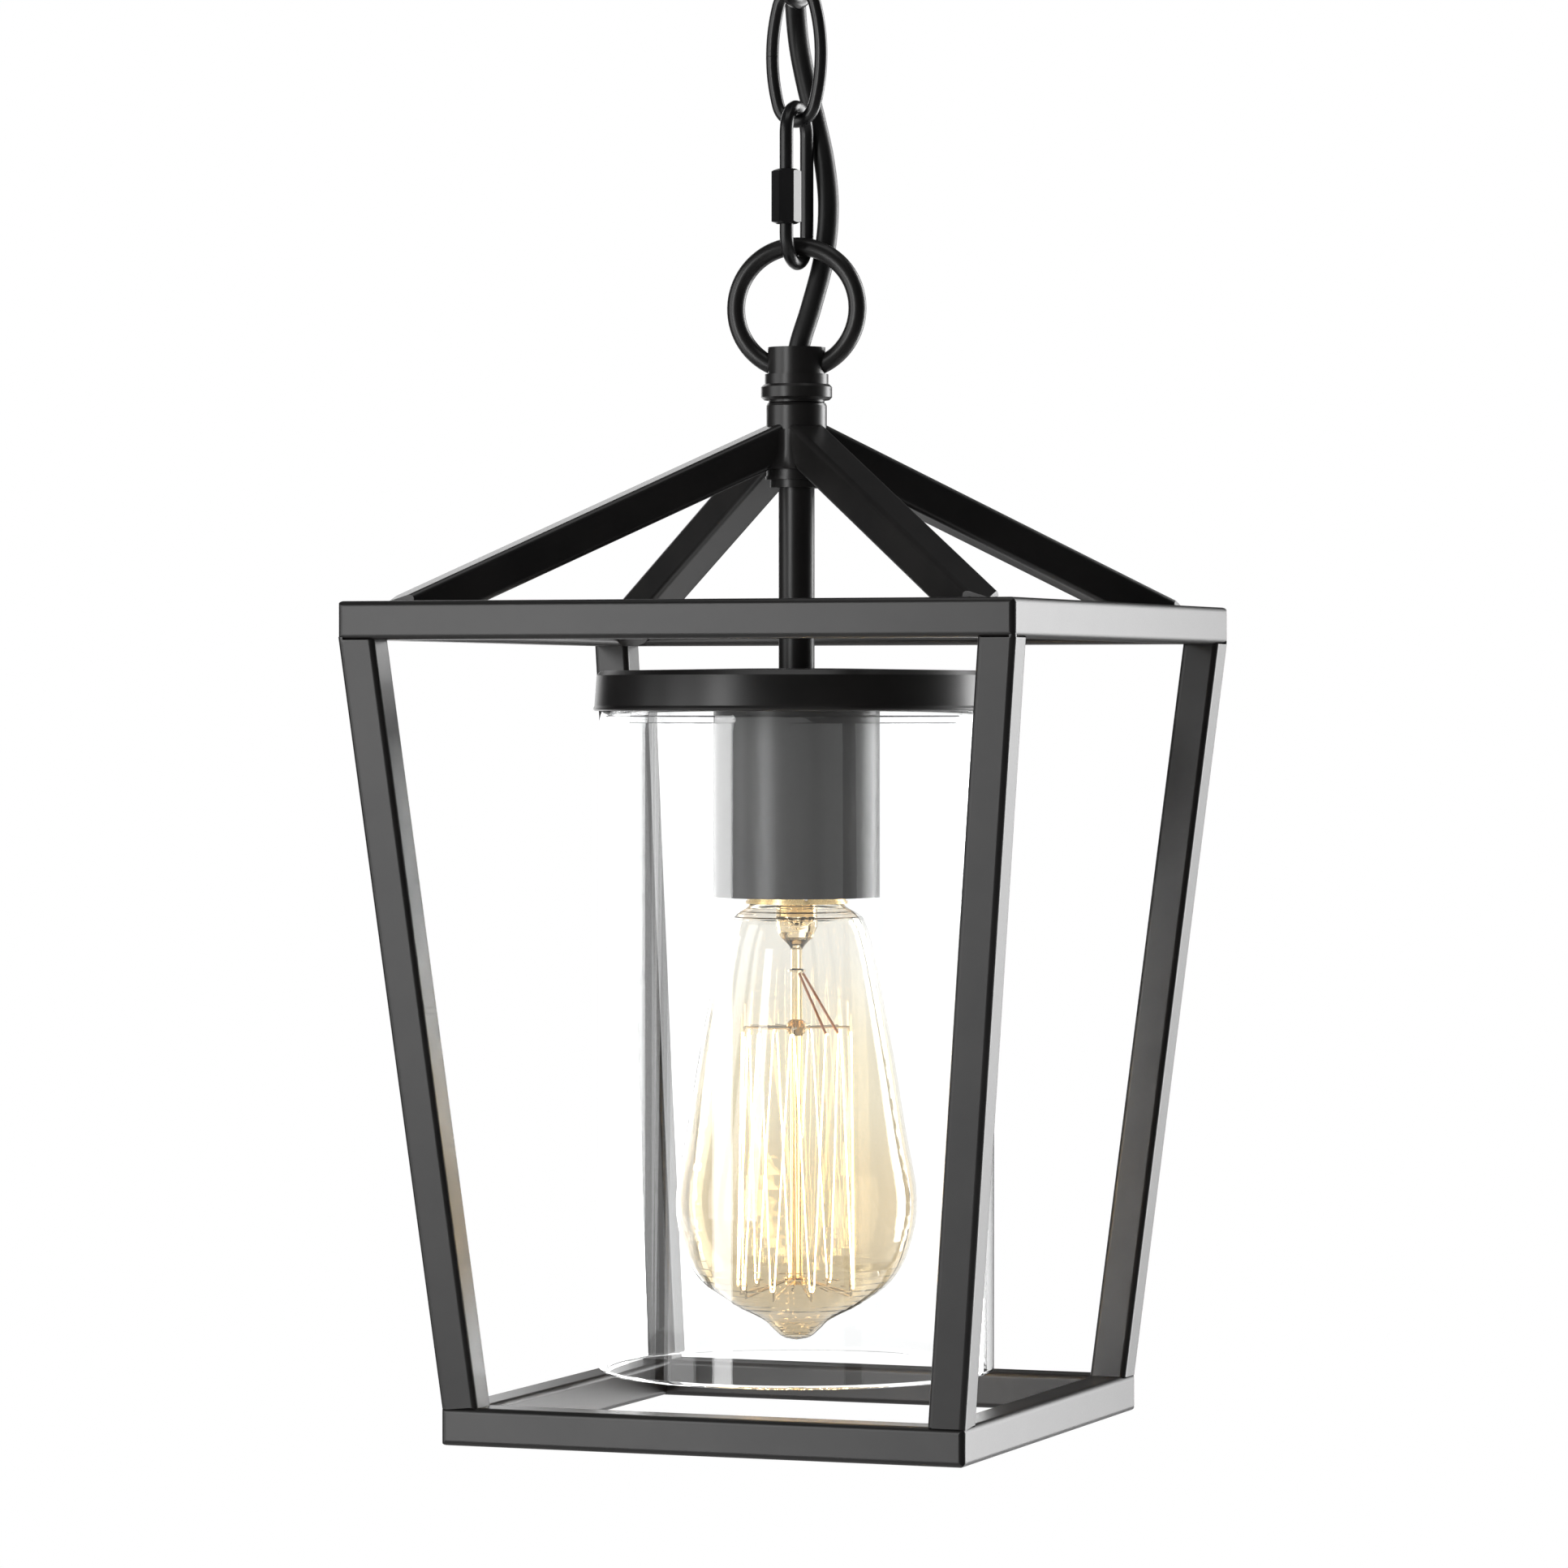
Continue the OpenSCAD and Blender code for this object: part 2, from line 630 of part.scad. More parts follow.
// Smooth curve through the envelope's points, and its direction, at run t
function spot(i) = envelope[max(0, min(i, len(envelope) - 1))];
function curve(t) =
    let (i = min(floor(t), len(envelope) - 2), u = t - i,
         a = spot(i - 1), b = spot(i), c = spot(i + 1), d = spot(i + 2))
    (2 * b + (c - a) * u + (2 * a - 5 * b + 4 * c - d) * u * u
        + (3 * b - a - 3 * c + d) * u * u * u) / 2;
function direction(t) = unit(curve(t + 0.02) - curve(t - 0.02));
function flipped(p) = [max(p.y, 0), -p.x];
module bulb_glass() {
    wall = 0.8;
    runs = [for (k = [0 : steps * (len(envelope) - 1)]) k / steps];
    outer = [for (t = runs) flipped(curve(t))];
    inner = [for (k = [len(runs) - 2 : -1 : 1])
        let (t = runs[k], d = direction(t)) flipped(curve(t) + wall * [d.y, -d.x])];
    color([0.9, 0.75, 0.45, 0.3]) translate([0, 0, base_low]) rotate_extrude($fn = 64)
        polygon(concat(outer, [[0, -envelope[len(envelope) - 1].x + wall]], inner,
            [[neck - 0.3 - wall, 10]]));
}

// Screw base: thin metal shell with shallow rounded rings and a folded lower edge
module bulb_base_shell() {
    wall = 0.3;
    low = base_low + 0.1;
    top = tip_top - 6;
    rings = 5;
    pitch = 3.6;
    color("#c9a24a") difference() {
        union() {
            translate([0, 0, low]) cylinder(h = top - low, r = base_r);
            translate([0, 0, low]) cylinder(h = 0.7, r = base_r + 0.4);
            translate([0, 0, top]) cylinder(h = 3, r1 = base_r, r2 = base_r - 3);
        }
        translate([0, 0, low - eps]) cylinder(h = top - low - 0.3, r = base_r - wall);
        translate([0, 0, top - 1]) cylinder(h = 5, r = base_r - 3.4);
        for (i = [0 : rings - 1]) translate([0, 0, base_low + 4.6 + i * pitch]) rotate_extrude()
            translate([base_r + 0.75, 0]) circle(1.0, $fn = 24);
    }
}

module base_insulator() {
    color("#151515") translate([0, 0, tip_top - 3]) difference() {
        union() {
            translate([0, 0, -3.5]) cylinder(h = 3.5, r = base_r - 3.4);
            cylinder(h = 1.8, r1 = base_r - 3.4, r2 = 5.2);
        }
        translate([0, 0, -4]) cylinder(h = 8, r = 1.2);
    }
}

module base_contact() {
    color("#b8b8b8") translate([0, 0, tip_top - 1.2]) {
        cylinder(h = 1.2, r1 = 4.7, r2 = 3.4);
        translate([0, 0, -4]) cylinder(h = 4, r = 1.2);
    }
}

// Solder on the base's side, where the filament's second lead comes out
module solder_spot() {
    angle = -59;
    color("#c4c4c4") translate([0, 0, base_low + 1.55]) difference() {
        rotate([0, 90, angle]) translate([0, 0, base_r - 0.5]) cylinder(h = 1.1, r1 = 0.7, r2 = 0.4);
        cylinder(h = 4, r = base_r, center = true);
    }
}

press_top = base_low + 8;
press_low = base_low - 18;
rod_low = press_low - 81.4;
rod_r = 1.65;
// Flared glass tube sealed into the neck and drawn down to the support rod
module stem_press() {
    flare = neck - 1.4;
    color([0.85, 0.88, 0.85, 0.4]) translate([0, 0, base_low]) rotate_extrude() polygon([
        [0, -6.6], [2.2, -5.6], [4.6, -3.6], [4.6, 1], [7.6, 5.6], [flare - 0.6, 8],
        [flare, 8], [8.6, 5], [5.5, 0], [5.5, -6.2], [4.4, -8.8], [2.2, -11], [1.5, -12.1],
        [1.5, -17.2], [2.4, -17.6], [2.4, -18], [0, -18]]);
}

module support_rod() {
    color([0.85, 0.6, 0.3, 0.6]) translate([0, 0, rod_low])
        cylinder(h = press_low - rod_low, r = rod_r);
}

bead_z = base_low - 32.8;
module filament_bead() {
    color("#d8b070") translate([0, 0, bead_z]) difference() {
        sphere(2.65);
        cylinder(h = 8, r = rod_r, center = true);
    }
}

button_z = rod_low - 1;
module filament_button() {
    color("#e08a3c") washer(button_z, 1.8, rod_r, 3.2);
}

hook_wire = 0.6;
lower_r = hook_ring_r + 1.3;
upper_z = bead_z - 1;
lower_z = button_z - 1;
hook_step = 342 / hook_count;
first_lead = -36;
function round_at(r, angle, z) = [r * cos(angle), r * sin(angle), z];
function upper_angle(j) = first_lead - j * hook_step;
function lower_angle(j) = first_lead - (j + 0.5) * hook_step;

// Wires from the bead, each with its end turned down
module upper_hooks() {
    color("#a8a29a") for (j = [1 : hook_count - 1]) {
        a = upper_angle(j);
        wire(round_at(2.68, a, bead_z), round_at(hook_ring_r - 0.4, a, upper_z + 1.2), hook_wire);
        wire(round_at(hook_ring_r - 0.4, a, upper_z - 1.2),
            round_at(hook_ring_r - 0.4, a, upper_z + 1.5), hook_wire);
    }
}

// Wires from the button, each with its end turned up
module lower_hooks() {
    color("#a8a29a") for (j = [0 : hook_count - 1]) {
        a = lower_angle(j);
        wire(round_at(3.32, a, button_z + 0.9), round_at(lower_r - 0.4, a, lower_z - 2), hook_wire);
        wire(round_at(lower_r - 0.4, a, lower_z - 2.3),
            round_at(lower_r - 0.4, a, lower_z + 1.4), hook_wire);
    }
}

// Two stiff leads from the press to the filament's ends
module filament_leads() {
    color("#b86a4a") for (j = [0, hook_count]) {
        a = upper_angle(j);
        spread = j == 0 ? -12 : 12;
        wire(round_at(1.9, a + spread, press_low - 0.4),
            round_at(hook_ring_r - 0.4, a, upper_z), 0.7);
    }
}

// Strands of one long wire, strung between the upper and lower hooks
module filament() {
    d = 0.5;
    top_r = hook_ring_r + 0.3;
    low_r = lower_r + 0.3;
    apart = 1.6;         // degrees from a hook's middle to a strand on either side of it
    color("#ffd890") for (j = [0 : hook_count - 1], side = [0, 1]) {
        to = apart * (1 - 2 * side);
        wire(round_at(low_r, lower_angle(j) + to, lower_z),
            round_at(top_r, upper_angle(j + side) - to, upper_z), d);
    }
}

// ---------- one line for each node ----------

canopy_dome();
mounting_strap();
strap_nipple();
strap_lock_nut();
ground_screw();
canopy_loop();
canopy_screw_collar();
for (i = [0 : link_count - 1])
    chain_link(i);
quick_link();
quick_link_nut();
power_cable();
hanging_loop();
loop_washer();
roof_hub();
for (i = [0 : 3]) {
    roof_bar(i);
    top_rail(i);
    corner_post(i);
    bottom_rail(i);
}
hub_washer();
stem_nut();
stem_tube();
shade_cap();
upper_gasket();
glass_shade();
lower_gasket();
socket_cup();
cup_nut();
socket_body();
screw_shell();
centre_contact();
terminal_screws();
socket_leads();
bulb_glass();
bulb_base_shell();
base_insulator();
base_contact();
solder_spot();
stem_press();
support_rod();
filament_bead();
filament_button();
upper_hooks();
lower_hooks();
filament_leads();
filament();
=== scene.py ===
# %% [markdown]
# # A hanging lantern
# The lantern is an open cage of square tube round a glass bell, with one filament bulb, hung from a short
# chain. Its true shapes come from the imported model, which loads as a frame of named pieces and moving
# bodies. Here each piece gets its finish, and the few shapes that a solid modeller draws poorly, such as
# bent wire, a cable and a glowing filament, are made again as numpy surfaces.

# %% Load the frame
import json
import math
import bpy
import numpy as np
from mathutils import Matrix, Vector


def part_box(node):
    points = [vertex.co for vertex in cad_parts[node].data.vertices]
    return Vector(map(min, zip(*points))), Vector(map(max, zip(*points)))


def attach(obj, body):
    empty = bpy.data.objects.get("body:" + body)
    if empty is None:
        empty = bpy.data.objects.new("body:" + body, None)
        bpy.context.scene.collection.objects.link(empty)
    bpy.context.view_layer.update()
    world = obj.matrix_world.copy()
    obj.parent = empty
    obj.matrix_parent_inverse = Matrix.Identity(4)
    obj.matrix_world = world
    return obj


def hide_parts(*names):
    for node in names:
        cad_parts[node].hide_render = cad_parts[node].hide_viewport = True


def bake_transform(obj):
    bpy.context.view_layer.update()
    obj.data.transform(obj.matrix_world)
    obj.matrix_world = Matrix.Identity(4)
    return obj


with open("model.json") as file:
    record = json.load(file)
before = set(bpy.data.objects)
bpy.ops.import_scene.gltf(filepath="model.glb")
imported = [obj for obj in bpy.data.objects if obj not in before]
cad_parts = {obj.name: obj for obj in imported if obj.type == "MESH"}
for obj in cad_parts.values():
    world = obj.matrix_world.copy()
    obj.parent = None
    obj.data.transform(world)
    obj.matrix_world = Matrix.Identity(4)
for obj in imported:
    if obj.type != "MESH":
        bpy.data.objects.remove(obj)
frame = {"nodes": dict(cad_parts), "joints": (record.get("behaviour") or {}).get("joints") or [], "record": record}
nodes = frame["nodes"]
joints = {j["name"]: j for j in frame["joints"]}
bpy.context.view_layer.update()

# %% [markdown]
# Heights that the solids already have are read from the frame, so the pieces made here stay with them.

# %% Heights and middles
def low(node):
    return np.array(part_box(node)[0])


def high(node):
    return np.array(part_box(node)[1])


cage_top = high("top_rail_front")[2]
cage_low = low("bottom_rail_front")[2]
cup_low = low("socket_cup")[2]
bulb_low = low("bulb_glass")[2]
print("cage", cage_top, cage_low, "cup", cup_low, "bulb", bulb_low)

# %% [markdown]
# The camera stands to the right of the front, just under the level of the cage's top, far away behind a
# long lens, so the cage's upright edges keep almost the same slant on both sides.

# %% Camera
azimuth = math.radians(20.5)
distance = 1.689
below_cage_top = 0.0278
tilt_down = math.radians(0.669)
turn_left = math.radians(0.113)
camera_data = bpy.data.cameras.new("camera")
camera_data.lens = 146.55
camera_data.sensor_width = 36
camera = bpy.data.objects.new("camera", camera_data)
bpy.context.scene.collection.objects.link(camera)
camera.location = (distance * math.sin(azimuth), -distance * math.cos(azimuth), cage_top - below_cage_top)
camera.rotation_euler = (math.pi / 2 - tilt_down, 0, azimuth + turn_left)
bpy.context.scene.camera = camera
print("camera", tuple(round(v, 3) for v in camera.location))

# %% [markdown]
# ## The surfaces' toolbox
# Bent wire, cable and filament are all one shape: a round section carried along a curve. The curve is a
# whole array of points, and a frame is carried along it with as little twist as possible, so that
# neighbouring rings always line up.

# %% A section carried along a curve
sharp_angle = math.radians(50)


def add_mesh(name, points, faces, smooth=True):
    """Makes an object at the origin from an array of points and a list of faces. A smooth one keeps an edge sharp
    where its two faces meet at more than sharp_angle."""
    mesh = bpy.data.meshes.new(name)
    mesh.from_pydata(np.asarray(points).reshape(-1, 3).tolist(), [], faces)
    mesh.validate()
    if smooth:
        mesh.shade_smooth()
        mesh.set_sharp_from_angle(angle=sharp_angle)
    else:
        mesh.shade_flat()
    obj = bpy.data.objects.new(name, mesh)
    bpy.context.scene.collection.objects.link(obj)
    return obj


def unit(v):
    return v / np.linalg.norm(v, axis=-1, keepdims=True)


def smooth_curve(points, step):
    """Catmull-Rom curve through points: on each span the cubic whose slope at a point is half the way between its
    neighbours, sampled at even lengths of about step. The coefficients are those of u to the powers 0 to 3."""
    p = np.asarray(points, float)
    p = np.vstack([2 * p[0] - p[1], p, 2 * p[-1] - p[-2]])
    u = np.linspace(0, 1, 24, endpoint=False)[:, None]
    a, b, c, d = (p[k:len(p) - 3 + k, None] for k in range(4))
    square = 2 * a - 5 * b + 4 * c - d
    cube = 3 * b - a - 3 * c + d
    spans = (2 * b + (c - a) * u + square * u**2 + cube * u**3) / 2
    fine = np.vstack([spans.reshape(-1, 3), p[-2]])
    run = np.concatenate([[0], np.cumsum(np.linalg.norm(np.diff(fine, axis=0), axis=1))])
    even = np.linspace(0, run[-1], max(2, round(run[-1] / step)) + 1)
    return np.stack([np.interp(even, run, fine[:, k]) for k in range(3)], axis=1)


def across(path):
    """Two directions square to the path at every point: the first is carried along and kept square to the
    tangent, and the second is square to both."""
    along = unit(np.gradient(path, axis=0))
    start = np.cross(along[0], [0.3, 0.9, 0.2])
    side = np.empty_like(path)
    side[0] = start / np.linalg.norm(start)
    for k in range(1, len(path)):
        v = side[k - 1] - along[k] * np.dot(side[k - 1], along[k])
        side[k] = v / np.linalg.norm(v)
    return side, np.cross(along, side)


def tube(name, path, radius, sides, frame_of=None):
    """Round tube with flat ends: point(i, k) = path(i) + radius * (cos(a) * side(i) + sin(a) * up(i)), with the
    angle a = 2 pi k / sides."""
    side, up = across(path) if frame_of is None else frame_of
    n = len(path)
    a = np.linspace(0, 2 * np.pi, sides, endpoint=False)[None, :, None]
    points = path[:, None] + radius * (np.cos(a) * side[:, None] + np.sin(a) * up[:, None])
    i, k = np.meshgrid(np.arange(n - 1), np.arange(sides), indexing="ij")
    j, l = i + 1, (k + 1) % sides
    cells = np.stack([i * sides + k, i * sides + l, j * sides + l, j * sides + k], axis=-1)
    faces = cells.reshape(-1, 4).tolist()
    faces += [list(range(sides))[::-1], list(range((n - 1) * sides, n * sides))]
    return add_mesh(name, points, faces)


# %% [markdown]
# ## The cable
# The cable comes out of the canopy's loop, passes beside the chain's links and goes down into the lantern's
# collar. It is one curve, but it crosses five joints, and a piece can bend across only one. So the one tube
# is cut into five lengths whose end rings are the same.

# %% Cable
cable_route = np.array([
    [0, 0, -317], [0, 0, -303], [0, 0, -289], [0, 0, -275], [0, 0, -261], [0, 0, -247],
    [0, 0, -234], [0.3, 0.4, -223], [2.8, 3.7, -211], [5.0, 7.2, -198],
    [5.5, 9.4, -185], [3.8, 11.2, -173], [0.9, 12.6, -162], [-1.8, 12.2, -151],
    [-3.4, 11.0, -141], [-4.0, 9.9, -131], [-4.2, 9.0, -118], [-4.4, 8.6, -104],
    [-4.7, 8.2, -90], [-4.9, 7.4, -76], [-4.3, 5.7, -64], [-2.2, 2.8, -52],
    [0, 0, -42], [0, 0, -28], [0, 0, -14], [0, 0, -1]])[::-1] / 1000
cable_d = 0.0056
cable_step = 0.0015
cable_path = smooth_curve(cable_route, cable_step)
cable_frame = across(cable_path)


def cable_length(name, z_from, z_to):
    """The stretch of the cable between two heights."""
    first, last = (int(np.argmin(abs(cable_path[:, 2] - z))) for z in (z_from, z_to))
    part = slice(first, last + 1)
    path = cable_path[part]
    piece = tube(name, path, cable_d / 2, 24, frame_of=(cable_frame[0][part], cable_frame[1][part]))
    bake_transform(piece)
    return piece


cables = [
    cable_length("cable_top", -0.001, -0.072),
    cable_length("cable_link_1", -0.072, -0.108),
    cable_length("cable_link_2", -0.108, -0.143),
    cable_length("cable_link_3", -0.143, -0.179),
    cable_length("cable_foot", -0.179, -0.317)]
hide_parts("power_cable")

# %% [markdown]
# ## Bent wire links
# A real oval link is bent from round wire, and its two ends meet in the middle of one side with a hairline
# gap. Its outline is four arcs that run into each other: two tight ends and two nearly straight sides.

# %% Oval links
def oval_path(length, width, end_r, count=160):
    """Centreline of an oval link in its own plane, from one side of the gap round to the other: end arcs of radius
    end_r at heights a - end_r above and below the middle, joined by side arcs that share their tangents, with half
    sizes a and b."""
    a, b = length / 2, width / 2
    side_r = (a * a + b * b - 2 * a * end_r) / (2 * (b - end_r))
    turn = math.atan2(a - end_r, side_r - b)
    spans = [((side_r - b, 0), side_r, math.pi, math.pi - turn),
             ((0, a - end_r), end_r, math.pi - turn, turn),
             ((b - side_r, 0), side_r, turn, -turn),
             ((0, end_r - a), end_r, -turn, turn - math.pi),
             ((side_r - b, 0), side_r, turn - math.pi, -math.pi)]
    points = [np.array(c) + r * np.stack([np.cos(t), np.sin(t)], axis=1)
              for c, r, t0, t1 in spans for t in [np.linspace(t0, t1, count // 4)[:-1]]]
    return np.vstack(points + [[[-b, 0]]])


def stand(flat, turn, z):
    """Stands a flat outline up in a plane turned about Z, with its middle at height z."""
    turn = math.radians(turn)
    return np.stack([flat[:, 0] * math.cos(turn), flat[:, 0] * math.sin(turn), flat[:, 1] + z], axis=1)


link_wire = 0.0034
link_width = 0.019
link_end_r = 0.0061
half_gap = 0.00006
for number, turn in ((1, -12), (2, 76), (3, -14)):
    node = f"chain_link_{number}"
    top, foot = high(node)[2], low(node)[2]
    flat = oval_path(top - foot - link_wire, link_width - link_wire, link_end_r)
    flat[0, 1], flat[-1, 1] = half_gap, -half_gap
    link = tube(f"oval_{number}", stand(flat, turn, (top + foot) / 2), link_wire / 2, 24)
    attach(link, node)
    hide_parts(node)
    print(link.name, "from", round(foot, 4), "to", round(top, 4))

# %% [markdown]
# ## Welds under the hub's collar
# The four roof bars are welded to the hub, and the metal runs out into a cove between each two neighbours,
# which flares at its foot.

# %% Coves between the roof bars
bar_half = (high("top_rail_front") - low("top_rail_front"))[2] / 2
cove_top = high("roof_bar_front_left")[2] - 0.0012
cove_foot = low("roof_hub")[2] + 0.0018
cove_r = 0.0026
flare = 0.003
cove_depth = 0.55


def cove(middle):
    """Skin between two bars whose near faces meet square on the line at angle middle, and an inner skin nearer the
    axis that closes it. At each height the skin is a quarter circle tangent to both faces, whose radius grows
    towards the foot: r(t) = cove_r + flare * t^4."""
    t = np.linspace(0, 1, 41)[:, None]
    r = cove_r + flare * t**4
    a = np.linspace(0, 90, 17)[None] * math.pi / 180
    corner = bar_half + r
    x, y = corner - r * np.sin(a), corner - r * np.cos(a)
    z = cove_top + (cove_foot - cove_top) * t + 0 * a
    turn = math.radians(middle - 45)
    c, s = math.cos(turn), math.sin(turn)
    skin = np.stack([x * c - y * s, x * s + y * c, z], axis=-1)
    inner = skin * [cove_depth, cove_depth, 1]
    rows, columns = z.shape
    i, k = np.meshgrid(np.arange(rows - 1), np.arange(columns - 1), indexing="ij")
    corner_of = i * columns + k
    cell = np.stack([corner_of, corner_of + 1, corner_of + columns + 1, corner_of + columns], -1).reshape(-1, 4)
    back = cell[:, ::-1] + rows * columns
    border = np.concatenate([
        np.arange(columns), np.arange(1, rows) * columns + columns - 1,
        (rows - 1) * columns + np.arange(columns - 1)[::-1], np.arange(1, rows - 1)[::-1] * columns])
    after = np.roll(border, -1)
    rim = np.stack([after, border, border + rows * columns, after + rows * columns], -1)
    return np.concatenate([skin.reshape(-1, 3), inner.reshape(-1, 3)]), np.concatenate([cell, back, rim])


welds = []
for middle in (0, 90, 180, 270):
    points, faces = cove(middle)
    weld = add_mesh(f"weld_{middle}", points, faces.tolist())
    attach(weld, "lantern")
    welds.append(weld)
print("welds", len(welds), "each", len(faces), "faces")

# %% [markdown]
# ## The glowing filament
# The filament is one long wire, strung up and down between the lower and the upper hooks. Each turn goes
# over a hook in a small bend of four points, and straight strands join one bend to the next.

# %% Filament
hooks = 9
hook_step = 342 / hooks
first_lead = -36
wire_low, wire_high = low("filament")[2], high("filament")[2]
upper_r = 0.0145
lower_r = 0.0158
half_bend = 2.2
strand_step = 0.002


def at(r, degrees, z):
    """The point at that radius, angle and height."""
    a = np.radians(degrees)
    return np.array([r * np.cos(a), r * np.sin(a), z])


def over_hook(r, middle, end, inwards):
    """Four points of a bend over a hook at angle middle: its outer two are 1.2 mm from the wire's end height, and
    its inner two 0.2 mm. inwards is 1 at the lower hooks and -1 at the upper ones."""
    return [at(r, middle + turn, end + inwards * dip) for turn, dip in (
        (half_bend, 0.0012), (half_bend / 2, 0.0002), (-half_bend / 2, 0.0002), (-half_bend, 0.0012))]


bends = []
for j in range(hooks + 1):
    bends += over_hook(upper_r, first_lead - j * hook_step, wire_high, -1)
    if j < hooks:
        bends += over_hook(lower_r, first_lead - (j + 0.5) * hook_step, wire_low, 1)
corners = np.array(bends[1:-1])
strung = []
for p, q in zip(corners[:-1], corners[1:]):
    count = max(2, int(np.linalg.norm(q - p) / strand_step))
    strung.append(p + (q - p) * np.linspace(0, 1, count, endpoint=False)[:, None])
filament_path = np.vstack(strung + [corners[-1:]])
filament = tube("glow_wire", filament_path, 0.0002, 8)
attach(filament, "bulb")
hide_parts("filament")
print("filament points", len(filament_path))

# %% [markdown]
# ## Finishes
# The black parts are powder coated: tiny lumps melted into a skin, so the gloss breaks up a little and the
# tone drifts. One group of noise nodes gives that grain to every finish, and a finish may set its own
# scale.

# %% Grain group
def new_group(name, inputs, outputs):
    """A node group with number inputs, given as name and default, and outputs, given as name and kind of socket."""
    group = bpy.data.node_groups.new(name, "ShaderNodeTree")
    for label, default in inputs.items():
        socket = group.interface.new_socket(label, in_out="INPUT", socket_type="NodeSocketFloat")
        socket.default_value = default
    for label, kind in outputs.items():
        group.interface.new_socket(label, in_out="OUTPUT", socket_type=kind)
    return group, group.nodes.new("NodeGroupInput"), group.nodes.new("NodeGroupOutput")


grain, grain_in, grain_out = new_group(
    "grain", {"Fine": 2500, "Broad": 60}, {"Lumps": "NodeSocketFloat", "Drift": "NodeSocketFloat"})
place = grain.nodes.new("ShaderNodeTexCoord")
for label, detail in (("Fine", 3), ("Broad", 4)):
    noise = grain.nodes.new("ShaderNodeTexNoise")
    noise.inputs["Detail"].default_value = detail
    grain.links.new(place.outputs["Object"], noise.inputs["Vector"])
    grain.links.new(grain_in.outputs[label], noise.inputs["Scale"])
    grain.links.new(noise.outputs["Fac"], grain_out.inputs["Lumps" if label == "Fine" else "Drift"])
print("grain nodes", len(grain.nodes))

# %% A material with grain
def material(name, dark, light, rough, fine=2500, broad=60, bump=0.0, **constant):
    """Principled material: the drift mixes two colours, and the lumps mix two roughnesses and drive a bump of
    that height."""
    mat = bpy.data.materials.new(name)
    mat.use_nodes = True
    tree = mat.node_tree
    shader = tree.nodes["Principled BSDF"]
    for label, value in constant.items():
        shader.inputs[label.replace("_", " ")].default_value = value
    group = tree.nodes.new("ShaderNodeGroup")
    group.node_tree = grain
    group.inputs["Fine"].default_value = fine
    group.inputs["Broad"].default_value = broad
    ramp = tree.nodes.new("ShaderNodeValToRGB")
    for element, position, colour in zip(ramp.color_ramp.elements, (0.35, 0.65), (dark, light)):
        element.position, element.color = position, (*colour, 1)
    tree.links.new(group.outputs["Drift"], ramp.inputs["Fac"])
    tree.links.new(ramp.outputs["Color"], shader.inputs["Base Color"])
    spread = tree.nodes.new("ShaderNodeMapRange")
    spread.inputs["To Min"].default_value, spread.inputs["To Max"].default_value = rough
    tree.links.new(group.outputs["Lumps"], spread.inputs["Value"])
    tree.links.new(spread.outputs["Result"], shader.inputs["Roughness"])
    if bump:
        height = tree.nodes.new("ShaderNodeBump")
        height.inputs["Strength"].default_value = 0.25
        height.inputs["Distance"].default_value = bump
        tree.links.new(group.outputs["Lumps"], height.inputs["Height"])
        tree.links.new(height.outputs["Normal"], shader.inputs["Normal"])
    return mat


def lets_light_through(mat):
    """Glass stops a lamp's rays in this renderer, so for those rays alone a clear shader stands in for it."""
    tree = mat.node_tree
    shader = tree.nodes["Principled BSDF"]
    path = tree.nodes.new("ShaderNodeLightPath")
    clear = tree.nodes.new("ShaderNodeBsdfTransparent")
    clear.inputs["Color"].default_value = (0.93, 0.93, 0.93, 1)
    mix = tree.nodes.new("ShaderNodeMixShader")
    tree.links.new(path.outputs["Is Shadow Ray"], mix.inputs["Fac"])
    tree.links.new(shader.outputs["BSDF"], mix.inputs[1])
    tree.links.new(clear.outputs["BSDF"], mix.inputs[2])
    tree.links.new(mix.outputs["Shader"], tree.nodes["Material Output"].inputs["Surface"])
    return mat


def tint_down(mat, bottom, top, stops):
    """Colour by height: t runs from 0 at the bottom to 1 at the top, and stops are (t, colour) pairs."""
    tree = mat.node_tree
    place = tree.nodes.new("ShaderNodeTexCoord")
    split = tree.nodes.new("ShaderNodeSeparateXYZ")
    height = tree.nodes.new("ShaderNodeMapRange")
    height.inputs["From Min"].default_value, height.inputs["From Max"].default_value = bottom, top
    ramp = tree.nodes.new("ShaderNodeValToRGB")
    ramp.color_ramp.interpolation = "EASE"
    while len(ramp.color_ramp.elements) < len(stops):
        ramp.color_ramp.elements.new(0.5)
    for element, (t, colour) in zip(ramp.color_ramp.elements, stops):
        element.position, element.color = t, (*colour, 1)
    tree.links.new(place.outputs["Object"], split.inputs["Vector"])
    tree.links.new(split.outputs["Z"], height.inputs["Value"])
    tree.links.new(height.outputs["Result"], ramp.inputs["Fac"])
    tree.links.new(ramp.outputs["Color"], tree.nodes["Principled BSDF"].inputs["Base Color"])
    return mat


# %% [markdown]
# Each finish below is named for the real surface: coats and paints, bare metals, moulded plastics, rubber,
# jackets, the glowing wire and three glasses. Each has two colours, two roughnesses, and where it needs
# them its own grain.

